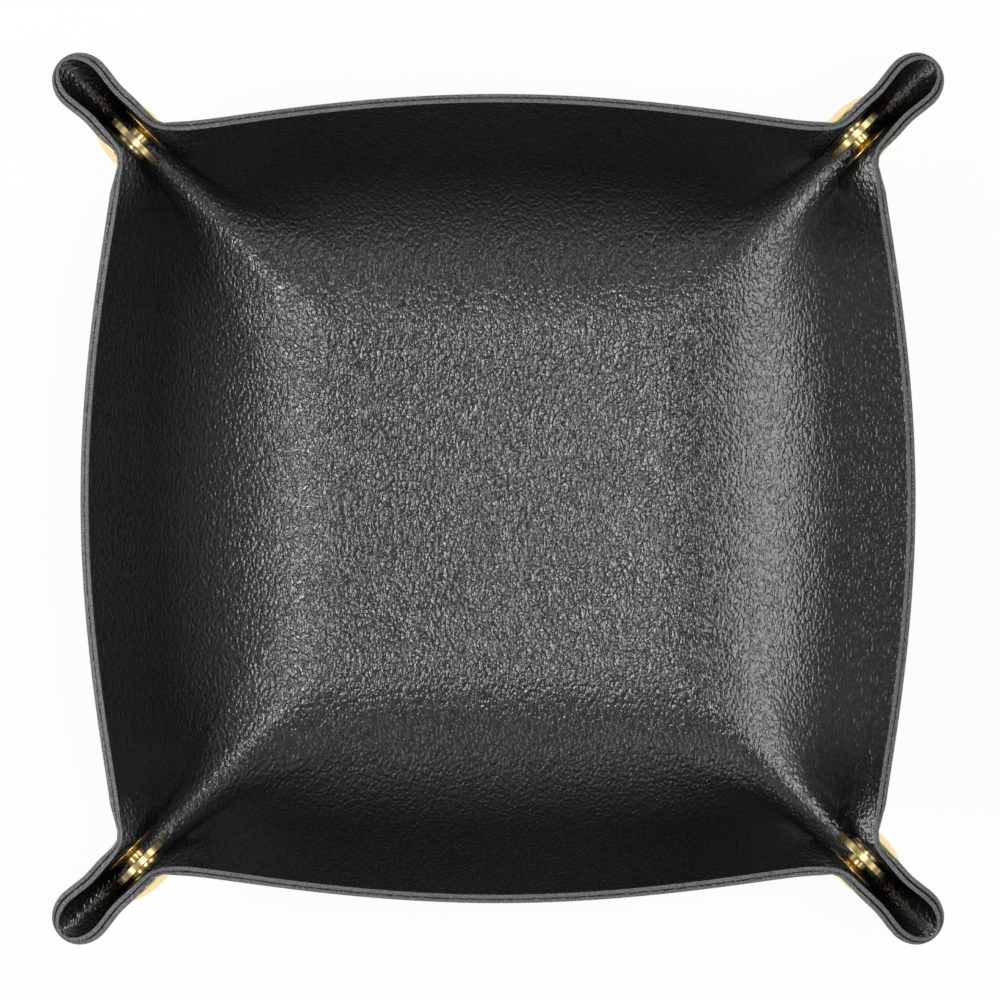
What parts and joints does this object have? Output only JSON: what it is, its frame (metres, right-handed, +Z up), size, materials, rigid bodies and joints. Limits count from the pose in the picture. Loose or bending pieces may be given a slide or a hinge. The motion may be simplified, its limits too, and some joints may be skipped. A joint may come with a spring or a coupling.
{
  "type": "valet tray",
  "caption": "Square leather catch-all tray whose pinched corners are held upright by gold press studs that snap open, so that the bonded sheet can be laid flat.",
  "frame": {"origin": "centre of the flat floor's underside, on the surface that the tray stands on", "axes": "+Z up out of the tray, +X towards the right and +Y towards the top of the picture"},
  "size_m": [0.1846, 0.1846, 0.0407],
  "materials": {
    "black_leather": "pebbled grain, satin",
    "gold_brass": "polished",
    "spring_wire": "drawn wire"
  },
  "bodies": {
    "tray": {"outer_leather": "black_leather", "inner_leather": "black_leather", "back_right_stud": "gold_brass", "back_right_post": "gold_brass", "back_left_stud": "gold_brass", "back_left_post": "gold_brass", "front_left_stud": "gold_brass", "front_left_post": "gold_brass", "front_right_stud": "gold_brass", "front_right_post": "gold_brass"},
    "socket_half_back_right": {"back_right_cap": "gold_brass", "back_right_socket": "gold_brass", "back_right_spring": "spring_wire"},
    "socket_half_back_left": {"back_left_cap": "gold_brass", "back_left_socket": "gold_brass", "back_left_spring": "spring_wire"},
    "socket_half_front_left": {"front_left_cap": "gold_brass", "front_left_socket": "gold_brass", "front_left_spring": "spring_wire"},
    "socket_half_front_right": {"front_right_cap": "gold_brass", "front_right_socket": "gold_brass", "front_right_spring": "spring_wire"}
  },
  "joints": [
    {"name": "open_back_right", "type": "hinge", "parent": "tray", "child": "socket_half_back_right", "pos_m": [0.0785, 0.0785, 0.02237], "axis": [-0.5704, -0.5704, -0.5911], "range_deg": [0, 35], "deforming": ["inner_leather", "outer_leather", "back_right_spring"]},
    {"name": "open_back_left", "type": "hinge", "parent": "tray", "child": "socket_half_back_left", "pos_m": [-0.0785, 0.0785, 0.02237], "axis": [0.5704, -0.5704, -0.5911], "range_deg": [0, 35], "deforming": ["inner_leather", "outer_leather", "back_left_spring"]},
    {"name": "open_front_left", "type": "hinge", "parent": "tray", "child": "socket_half_front_left", "pos_m": [-0.0785, -0.0785, 0.02237], "axis": [0.5704, 0.5704, -0.5911], "range_deg": [0, 35], "deforming": ["inner_leather", "outer_leather", "front_left_spring"]},
    {"name": "open_front_right", "type": "hinge", "parent": "tray", "child": "socket_half_front_right", "pos_m": [0.0785, -0.0785, 0.02237], "axis": [-0.5704, 0.5704, -0.5911], "range_deg": [0, 35], "deforming": ["inner_leather", "outer_leather", "front_right_spring"]}
  ]
}
